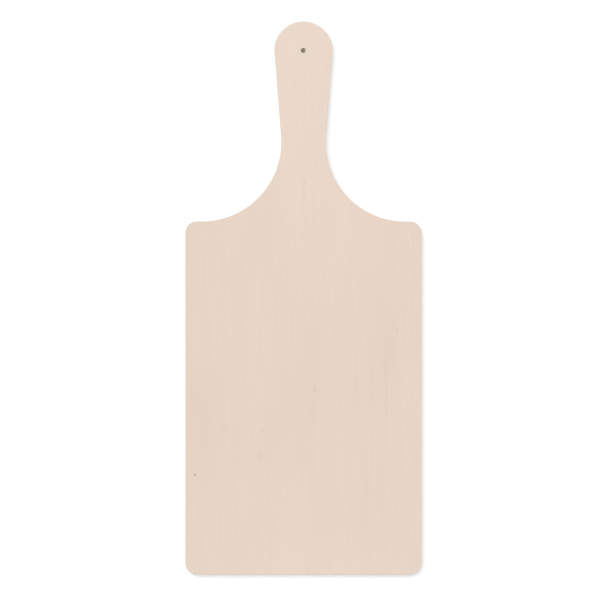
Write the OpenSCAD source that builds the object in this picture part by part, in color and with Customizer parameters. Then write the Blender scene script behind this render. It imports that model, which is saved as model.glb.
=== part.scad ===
// Paddle serving board, cut from five-ply plywood. The grain of the two face
// veneers and of the core runs along the board, and the grain of the two
// crossbands runs across it.
// The board lies flat: +Z is up, +Y points to the tip of the handle, and the
// origin is at the middle of the underside.

/* [Blade] */
// Width of the blade
blade_width = 150; // [120:1:180]
// Length of the blade, from its foot to the shoulders
blade_length = 224.3; // [180:0.1:280]
// Radius of the blade's four corners, seen from above
corner_radius = 7; // [4:0.5:12]
// Straight stretch of shoulder between a corner and the hollow sweep
shoulder_flat = 3.3; // [1:0.1:8]
// Radius of the sanded edge round the whole board, above and below
edge_radius = 0.3; // [0.2:0.1:1]

/* [Handle] */
// Length of the handle, from the shoulders to its tip
handle_length = 127.2; // [110:0.1:160]
// Width of the handle's round end
handle_end_width = 37; // [32:0.5:44]
// Width of the handle at its narrowest, where the sweeps begin
neck_width = 28; // [24:0.1:32]

/* [Hanging hole] */
// Diameter of the hole, which is concentric with the handle's round end
hole_diameter = 3; // [2.4:0.2:6]
// Depth of the chamfer at each mouth of the hole
hole_chamfer = 0.2; // [0.1:0.05:0.4]

/* [Plywood] */
// Thickness of the finished board
board_thickness = 5; // [4:0.5:9]
// Thickness of the glue film between two veneers
glue_film = 0.1; // [0.05:0.05:0.2]

/* [Hidden] */
$fn = 96;

// Levels along the board
board_length = blade_length + handle_length;
tip_y = board_length / 2;
foot_y = -board_length / 2;
shoulder_y = foot_y + blade_length;

// The handle's round end
end_radius = handle_end_width / 2;
end_centre = [0, tip_y - end_radius];

// The hollow sweep from the neck down to the shoulder, on the right-hand side
half_blade = blade_width / 2;
corner_x = half_blade - corner_radius;
sweep_x = corner_x - shoulder_flat;
sweep_radius = sweep_x - neck_width / 2;
sweep_centre = [sweep_x, shoulder_y + sweep_radius];

// The router's cuts start outside the panel, above, below and all round it.
// Where two cuts blend, each goes a hair past the point where it would only
// graze its neighbour, so that they meet at a clean edge.
panel_margin = edge_radius;
cut_margin = 2 * panel_margin;
cut_reach = end_radius;
outline_bite = sweep_radius / 500;
edge_bite = edge_radius / 100;
sweep_run_out = 15;

// The handle's straight flank touches the round end and the sweep from
// opposite sides, so it is the inner tangent of the two circles
centre_gap = sweep_centre - end_centre;
radii = end_radius + sweep_radius - 2 * outline_bite;
flank_angle = -atan2(centre_gap.y, centre_gap.x) - acos(radii / norm(centre_gap));
flank_length = sqrt(centre_gap * centre_gap - radii * radii);

// The layers of the plywood, counted upwards from the bottom face veneer
veneer_count = 5;
film_count = veneer_count - 1;
veneer = (board_thickness - film_count * glue_film) / veneer_count;
layer_step = veneer + glue_film;

basswood = [0.902, 0.831, 0.773];
dried_glue = [0.71, 0.57, 0.43];

// Cross-section of the router's cut. The finished outline is at x = 0, the wood
// is at x < 0, and the bit rounds the edges above and below.
module cut_section(reach, margin) {
    translate([0, -margin])
        square([reach, board_thickness + 2 * margin]);
    for (face = [0, 1])
        translate([0, face * board_thickness])
            mirror([0, 1 - face])
                difference() {
                    translate([-edge_radius, -edge_radius])
                        square([edge_radius + reach, edge_radius + margin]);
                    translate([-edge_radius, -edge_radius])
                        circle(edge_radius + edge_bite);
                }
}

// Straight cut that runs from the origin towards -Y, with the wood on its -X side
module straight_cut(length, margin = cut_margin) {
    rotate([90, 0, 0])
        linear_extrude(length)
            cut_section(cut_reach, margin);
}

// Cut round the outside of a curve
module round_cut(radius, start, angle) {
    rotate_extrude(start = start, angle = angle)
        translate([radius, 0])
            cut_section(cut_reach, cut_margin);
}

// Cut round the inside of a hollow, which stops short of the hollow's centre
module hollow_cut(radius, start, angle) {
    rotate_extrude(start = start, angle = angle)
        translate([radius, 0])
            mirror([1, 0])
                cut_section(radius - cut_margin, cut_margin);
}

// Straight cut down the handle's flank, which starts beyond the round end
module flank_cut() {
    translate(end_centre)
        rotate(-flank_angle)
            translate([end_radius - outline_bite, end_radius])
                straight_cut(end_radius + flank_length, 2 * cut_margin);
}

// Hollow cut from the neck down to the shoulder, which starts beyond the flank
module sweep_cut() {
    start = floor(180 - flank_angle) - sweep_run_out;
    translate(sweep_centre)
        hollow_cut(sweep_radius, start, 270 - start);
}

// The cuts round the right-hand half, from the handle to the foot
module half_outline() {
    flank_cut();
    sweep_cut();
    translate([sweep_x, shoulder_y])
        rotate(90)
            straight_cut(shoulder_flat);
    translate([corner_x, shoulder_y - corner_radius])
        round_cut(corner_radius, 0, 90);
    translate([half_blade, shoulder_y - corner_radius])
        straight_cut(blade_length - 2 * corner_radius);
    translate([corner_x, foot_y + corner_radius])
        round_cut(corner_radius, 270, 90);
    translate([corner_x, foot_y])
        rotate(-90)
            straight_cut(corner_x);
}

// The bore of the hanging hole, with a chamfer at each mouth
module hanging_hole() {
    radius = hole_diameter / 2;
    mouth = radius + hole_chamfer + cut_margin;
    translate(end_centre)
        rotate_extrude()
            polygon([
                [0, -cut_margin],
                [mouth, -cut_margin],
                [radius, hole_chamfer],
                [radius, board_thickness - hole_chamfer],
                [mouth, board_thickness + cut_margin],
                [0, board_thickness + cut_margin],
            ]);
}

// The piece of plywood panel, sawn a little larger than the board
module panel() {
    edge = [
        [end_radius + panel_margin, tip_y + panel_margin],
        [end_radius + panel_margin, sweep_centre.y],
        [half_blade + panel_margin, shoulder_y + panel_margin],
        [half_blade + panel_margin, foot_y - panel_margin],
    ];
    far_edge = [for (i = [len(edge) - 1 : -1 : 0]) [-edge[i].x, edge[i].y]];
    linear_extrude(board_thickness)
        polygon(concat(edge, far_edge));
}

// The whole board, routed to its outline and drilled
module board() {
    difference() {
        panel();
        half_outline();
        mirror([1, 0, 0])
            half_outline();
        translate(end_centre)
            round_cut(end_radius, -flank_angle, 180 + 2 * flank_angle);
        hanging_hole();
    }
}

// What the board holds in layers of one thickness that start at these levels
module layers(levels, thickness) {
    width = blade_width + 2 * cut_margin;
    length = board_length + 2 * cut_margin;
    intersection() {
        board();
        for (level = levels)
            translate([-width / 2, -length / 2, level])
                cube([width, length, thickness]);
    }
}

// One of the five sheets of veneer
module veneer_sheet(layer) {
    color(basswood)
        layers([layer * layer_step], veneer);
}

// The film of glue in each of the four joints
module glue_lines() {
    color(dried_glue)
        layers([for (joint = [1 : film_count]) joint * layer_step - glue_film], glue_film);
}

veneer_sheet(4);  // top_face_veneer
veneer_sheet(3);  // top_crossband
veneer_sheet(2);  // core_veneer
veneer_sheet(1);  // bottom_crossband
veneer_sheet(0);  // bottom_face_veneer
glue_lines();
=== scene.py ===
"""A paddle serving board of sanded basswood plywood, lying on white card and seen from straight above."""

import math

import bpy
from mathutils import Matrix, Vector


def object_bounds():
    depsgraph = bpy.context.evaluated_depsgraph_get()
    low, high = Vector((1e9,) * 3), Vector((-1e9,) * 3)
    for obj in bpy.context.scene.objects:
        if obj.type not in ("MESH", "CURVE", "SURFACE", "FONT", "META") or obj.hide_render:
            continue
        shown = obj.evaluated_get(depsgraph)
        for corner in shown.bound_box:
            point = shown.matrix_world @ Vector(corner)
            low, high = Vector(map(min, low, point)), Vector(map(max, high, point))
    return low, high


MM = 0.001

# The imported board, and the sizes that are read from it
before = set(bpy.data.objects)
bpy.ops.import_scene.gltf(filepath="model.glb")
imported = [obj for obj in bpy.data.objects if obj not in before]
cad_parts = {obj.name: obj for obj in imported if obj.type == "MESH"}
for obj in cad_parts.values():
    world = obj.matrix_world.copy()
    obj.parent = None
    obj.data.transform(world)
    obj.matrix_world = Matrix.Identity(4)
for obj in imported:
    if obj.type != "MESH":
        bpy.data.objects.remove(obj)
cad_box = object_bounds()
board_foot = cad_box[0].y / MM
board_tip = cad_box[1].y / MM
board_underside = cad_box[0].z
board_top = cad_box[1].z

# A Mix node's sockets for colours, which share their names with its sockets for numbers
COLOUR_A = 6
COLOUR_B = 7
MIXED = 2

# Most of a noise texture's values lie between these two
NOISE_LOW = 0.3
NOISE_HIGH = 0.7


def linear(hex_colour):
    """An sRGB colour such as "#E6D4C5" as the linear RGBA that a shader's socket takes."""
    channels = [int(hex_colour[i:i + 2], 16) / 255 for i in (1, 3, 5)]
    return (*[c / 12.92 if c <= 0.04045 else ((c + 0.055) / 1.055) ** 2.4 for c in channels], 1.0)


def add(tree, kind, inputs=None, **settings):
    """Adds one shader node. Inputs are numbers, colours or the sockets that feed it."""
    node = tree.nodes.new("ShaderNode" + kind)
    for name, value in settings.items():
        setattr(node, name, value)
    for name, value in (inputs or {}).items():
        if isinstance(value, bpy.types.NodeSocket):
            tree.links.new(value, node.inputs[name])
        else:
            node.inputs[name].default_value = value
    return node.outputs


def new_material(name):
    """An empty node material, with the node tree that its function fills."""
    material = bpy.data.materials.new(name)
    material.use_nodes = True
    material.node_tree.nodes.clear()
    return material, material.node_tree


# Basswood, peeled, sanded fine and left bare: a pale pinkish cream with hardly any figure. The eye sees soft
# clouds in long patches, thin straight streaks along the grain and a dull, dry surface.
PALE_WOOD = "#E6D4C5"
WARM_WOOD = "#E3D0C0"
WOOD_ROUGHNESS = 0.62
WOOD_IOR = 1.5

# The clouds between the two tones: width across the grain, length along it and depth in mm
CLOUD_SIZE = (35, 110, 400)

# The grain's layers: width across the grain, length along it and depth in mm, and the change of brightness.
# Single fibres are 0.03 mm wide, too fine to show, so the last layer is drawn about ten times as coarse.
GRAIN_LAYERS = [
    (5.5, 140, 3.0, 0.005),
    (1.6, 45, 0.8, 0.010),
    (0.28, 9, 0.28, 0.015),
]

# The fibres that sanding leaves standing
FIBRE_HEIGHT = 0.02 * MM
FIBRE_RELIEF = 0.25

# Peeling leaves fine checks that lean from square to the sheet. Their sizes are in the same order as above.
# They are 0.05 mm wide, too fine to show, so they are drawn about five times as wide.
END_GRAIN = "#CFB597"
CHECKS = "#8F7150"
CHECK_SLANT = math.radians(40)
CHECK_SIZE = (0.25, 60, 1.5)
CHECK_START = 0.55
CHECK_FULL = 0.75
CHECK_STRENGTH = 0.45

# Where the face that shows is paler or warmer: middle, width and length in mm, colour and strength
SAPWOOD_AND_PAINTED_LIGHT = "#EFDDCF"
HEART_TINT = "#DCC2B2"
FACE_PATCHES = [
    # The first patch, paler towards the handle end, is partly sapwood tone and partly painted light: the
    # handle end lit more strongly, as if nearer the lamp. The patch at the foot is sapwood tone alone.
    (0, board_tip - 10, 280, 390, SAPWOOD_AND_PAINTED_LIGHT, 0.42),
    (10, board_foot, 190, 60, SAPWOOD_AND_PAINTED_LIGHT, 0.16),
    (-57, -76, 64, 170, HEART_TINT, 0.2),
    (-12, -80, 58, 120, HEART_TINT, 0.12),
    (54, -48, 26, 90, HEART_TINT, 0.12),
]

# Small natural marks in that face, in the same order: a pin knot, flecks and short dark streaks
KNOT = "#9C7C64"
FLECK = "#C4A590"
FACE_MARKS = [
    (-68.8, -112.5, 2.2, 2.1, KNOT, 0.8),
    (-39.4, 18.5, 1.6, 4.2, FLECK, 0.25),
    (1.3, 73.7, 1.1, 5.5, FLECK, 0.32),
    (0.7, 67.1, 1.1, 5.0, FLECK, 0.22),
    (7.3, -58.4, 2.4, 6.0, FLECK, 0.25),
    (4.6, -71.1, 1.6, 1.8, FLECK, 0.2),
    (-26.2, -84.2, 3.0, 3.0, FLECK, 0.2),
    (-27.7, -100.7, 3.4, 10.0, FLECK, 0.15),
    (21.5, -122.5, 1.8, 2.2, FLECK, 0.14),
    (-38.8, -149.2, 1.8, 2.2, FLECK, 0.14),
    (59.6, -20.3, 1.2, 6.5, FLECK, 0.24),
    (34.0, -64.7, 2.2, 105, FLECK, 0.06),
    (43.5, -64.7, 1.8, 105, FLECK, 0.06),
    (52.6, -64.7, 2.4, 105, FLECK, 0.08),
]

# The marks go straight through their thin sheet, so their depth in mm is far more than its thickness
MARK_DEPTH = 1000


def basswood_veneer(name, grain_turn, shift, marks=()):
    """Basswood veneer with its grain turned from the board's length. The shift picks the part of the log."""
    material, tree = new_material(name)
    place = add(tree, "TexCoord")
    place_mm = add(tree, "VectorMath", {0: place["Object"], "Scale": 1 / MM}, operation="SCALE")["Vector"]
    turn = (0, 0, grain_turn)
    grain_mm = add(tree, "Mapping", {"Vector": place_mm, "Location": shift, "Rotation": turn})["Vector"]

    # Clouds between the pale and the warm tone
    cloud_place = add(tree, "Mapping", {"Vector": grain_mm, "Scale": CLOUD_SIZE},
                      vector_type="TEXTURE")["Vector"]
    clouds = add(tree, "TexNoise", {"Vector": cloud_place, "Scale": 1.0, "Detail": 1.5})["Fac"]
    warmth = add(tree, "MapRange", {"Value": clouds, "From Min": NOISE_LOW,
                                    "From Max": NOISE_HIGH})["Result"]
    colour = add(tree, "Mix", {"Factor": warmth, COLOUR_A: linear(PALE_WOOD), COLOUR_B: linear(WARM_WOOD)},
                 data_type="RGBA")[MIXED]

    # Each mark is a soft oval that fades to nothing at its edge
    for x, y, width, length, mark_colour, strength in marks:
        half_size = (width / 2, length / 2, MARK_DEPTH)
        oval = add(tree, "Mapping", {"Vector": place_mm, "Location": (x, y, 0), "Scale": half_size},
                   vector_type="TEXTURE")["Vector"]
        distance = add(tree, "VectorMath", {0: oval}, operation="LENGTH")["Value"]
        fade = add(tree, "MapRange", {"Value": distance, "To Min": strength, "To Max": 0.0},
                   interpolation_type="SMOOTHSTEP")["Result"]
        colour = add(tree, "Mix", {"Factor": fade, COLOUR_A: colour, COLOUR_B: linear(mark_colour)},
                     data_type="RGBA")[MIXED]

    # Where the cut runs across the fibres, their open ends drink the light and look darker
    along_grain = (-math.sin(grain_turn), math.cos(grain_turn), 0)
    facing = add(tree, "VectorMath", {0: place["Normal"], 1: along_grain}, operation="DOT_PRODUCT")["Value"]
    end_grain = add(tree, "Math", {0: facing, 1: facing}, operation="MULTIPLY")["Value"]
    colour = add(tree, "Mix", {"Factor": end_grain, COLOUR_A: colour, COLOUR_B: linear(END_GRAIN)},
                 data_type="RGBA")[MIXED]

    # The slanted checks show only among those open ends
    check_turn = (0, CHECK_SLANT, 0)
    check_place = add(tree, "Mapping", {"Vector": grain_mm, "Rotation": check_turn, "Scale": CHECK_SIZE},
                      vector_type="TEXTURE")["Vector"]
    checks = add(tree, "TexNoise", {"Vector": check_place, "Scale": 1.0, "Detail": 1.0})["Fac"]
    cracked = add(tree, "MapRange", {"Value": checks, "From Min": CHECK_START, "From Max": CHECK_FULL,
                                     "To Max": CHECK_STRENGTH})["Result"]
    shown = add(tree, "Math", {0: cracked, 1: end_grain}, operation="MULTIPLY")["Value"]
    colour = add(tree, "Mix", {"Factor": shown, COLOUR_A: colour, COLOUR_B: linear(CHECKS)},
                 data_type="RGBA")[MIXED]

    for width, length, depth, swing in GRAIN_LAYERS:
        layer_place = add(tree, "Mapping", {"Vector": grain_mm, "Scale": (width, length, depth)},
                          vector_type="TEXTURE")["Vector"]
        fibres = add(tree, "TexNoise", {"Vector": layer_place, "Scale": 1.0, "Detail": 2.0})["Fac"]
        shade = add(tree, "MapRange", {"Value": fibres, "From Min": NOISE_LOW, "From Max": NOISE_HIGH,
                                       "To Min": 1 - swing, "To Max": 1 + swing})["Result"]
        colour = add(tree, "VectorMath", {0: colour, "Scale": shade}, operation="SCALE")["Vector"]

    # The last and finest layer is also felt as relief
    relief = add(tree, "Bump", {"Strength": FIBRE_RELIEF, "Distance": FIBRE_HEIGHT,
                                "Height": fibres})["Normal"]
    wood = add(tree, "BsdfPrincipled", {"Base Color": colour, "Roughness": WOOD_ROUGHNESS, "IOR": WOOD_IOR,
                                        "Normal": relief})
    add(tree, "OutputMaterial", {"Surface": wood["BSDF"]})
    return material


# Urea resin, pressed thin between the veneers and cured: a fine amber-brown line round the edge, a little
# glossier than the wood and darker where more of it has soaked in
THIN_GLUE = "#B3936D"
THICK_GLUE = "#98794F"
GLUE_CLOUD = 4 * MM
GLUE_ROUGHNESS = 0.45
GLUE_IOR = 1.5


def urea_glue_line(name):
    """Cured urea resin, whose colour changes a little along the line."""
    material, tree = new_material(name)
    place = add(tree, "TexCoord")
    soaked = add(tree, "TexNoise", {"Vector": place["Object"], "Scale": 1 / GLUE_CLOUD,
                                    "Detail": 2.0})["Fac"]
    colour = add(tree, "Mix", {"Factor": soaked, COLOUR_A: linear(THIN_GLUE), COLOUR_B: linear(THICK_GLUE)},
                 data_type="RGBA")[MIXED]
    glue = add(tree, "BsdfPrincipled", {"Base Color": colour, "Roughness": GLUE_ROUGHNESS, "IOR": GLUE_IOR})
    add(tree, "OutputMaterial", {"Surface": glue["BSDF"]})
    return material


def seen_plainly(tree):
    """One where the surroundings are seen, straight or in a reflection, and zero where they only light."""
    ray = add(tree, "LightPath")
    seen = ray["Is Camera Ray"]
    for also in ("Is Glossy Ray", "Is Transmission Ray"):
        seen = add(tree, "Math", {0: seen, 1: ray[also]}, operation="MAXIMUM")["Value"]
    return seen


# Matt card of a cool white, on which the board's shadow stays a plain grey. It is seen this many times as
# bright as it is, so that it shows as plain white and keeps the shadow.
CARD_WHITE = "#F0F4F8"
CARD_GAIN = 1.35


def white_card(name):
    """Matt white card, which shows brighter than it lights the board."""
    material, tree = new_material(name)
    gain = add(tree, "MapRange", {"Value": seen_plainly(tree), "To Min": 1.0, "To Max": CARD_GAIN})["Result"]
    colour = add(tree, "VectorMath", {0: linear(CARD_WHITE)[:3], "Scale": gain}, operation="SCALE")["Vector"]
    card = add(tree, "BsdfDiffuse", {"Color": colour})
    add(tree, "OutputMaterial", {"Surface": card["BSDF"]})
    return material


# The veneers and the glue keep their modelled shapes and take the finish of the real materials. Each veneer
# comes from another place in the log, which is given in mm.
ALONG = 0.0
ACROSS = math.radians(90)
finishes = {
    "top_face_veneer": basswood_veneer("basswood_peeled_sanded_top", ALONG, (0, 0, 0),
                                       FACE_PATCHES + FACE_MARKS),
    "top_crossband": basswood_veneer("basswood_peeled_crossband_upper", ACROSS, (310, 90, 20)),
    "core_veneer": basswood_veneer("basswood_peeled_core", ALONG, (620, 410, 40)),
    "bottom_crossband": basswood_veneer("basswood_peeled_crossband_lower", ACROSS, (930, 700, 60)),
    "bottom_face_veneer": basswood_veneer("basswood_peeled_sanded_bottom", ALONG, (1250, 1010, 80)),
    "glue_lines": urea_glue_line("urea_glue_cured"),
}
for node, finish in finishes.items():
    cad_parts[node].material_slots[0].material = finish

# White card under the board, wide enough to fill every view and a hair below the underside
FLOOR_SIDE = 12.0
FLOOR_GAP = 0.05 * MM
floor_level = board_underside - FLOOR_GAP
half_floor = FLOOR_SIDE / 2
floor_corners = [
    (-half_floor, -half_floor, floor_level),
    (half_floor, -half_floor, floor_level),
    (half_floor, half_floor, floor_level),
    (-half_floor, half_floor, floor_level),
]
floor_mesh = bpy.data.meshes.new("white_card_floor")
floor_mesh.from_pydata(floor_corners, [], [(0, 1, 2, 3)])
floor_mesh.materials.append(white_card("white_card_matt"))
floor = bpy.data.objects.new("white_card_floor", floor_mesh)
bpy.context.scene.collection.objects.link(floor)

# A bright white room all round, and one wide soft lamp high up on the left and beyond the handle. Their two
# shares add up to one on the board's face, so that a colour renders about as it is written.
ROOM_LIGHT = 0.77
LAMP_LIGHT = 0.23
LAMP_LEAN = math.radians(38)
LAMP_SIDE = Vector((-0.64, 0.77, 0)).normalized()
LAMP_SOFTNESS = math.radians(48)

room = bpy.data.worlds.new("white_room")
room.use_nodes = True
room_tree = room.node_tree
room_tree.nodes.clear()
seen = seen_plainly(room_tree)
strength = add(room_tree, "MapRange", {"Value": seen, "To Min": ROOM_LIGHT, "To Max": 1.0})["Result"]
light = add(room_tree, "Background", {"Color": linear("#FFFFFF"), "Strength": strength})["Background"]
add(room_tree, "OutputWorld", {"Surface": light})
bpy.context.scene.world = room

lamp_data = bpy.data.lights.new("soft_lamp", "SUN")
lamp_data.energy = LAMP_LIGHT * math.pi / math.cos(LAMP_LEAN)
lamp_data.angle = LAMP_SOFTNESS
lamp = bpy.data.objects.new("soft_lamp", lamp_data)
towards_lamp = LAMP_SIDE * math.sin(LAMP_LEAN) + Vector((0, 0, math.cos(LAMP_LEAN)))
lamp.rotation_euler = towards_lamp.to_track_quat("Z", "Y").to_euler()
bpy.context.scene.collection.objects.link(lamp)

# The camera looks straight down from far off through a long lens, with the handle at the top of the picture
PICTURE_SPAN = 381.3 * MM
PICTURE_CENTRE = Vector((-2.09 * MM, -1.31 * MM, board_top))
CAMERA_HEIGHT = 4.0
camera_data = bpy.data.cameras.new("overhead_camera")
camera_data.lens = camera_data.sensor_width * CAMERA_HEIGHT / PICTURE_SPAN
camera = bpy.data.objects.new("overhead_camera", camera_data)
camera.location = PICTURE_CENTRE + Vector((0, 0, CAMERA_HEIGHT))
bpy.context.scene.collection.objects.link(camera)
bpy.context.scene.camera = camera
bpy.context.scene.view_settings.view_transform = "Standard"
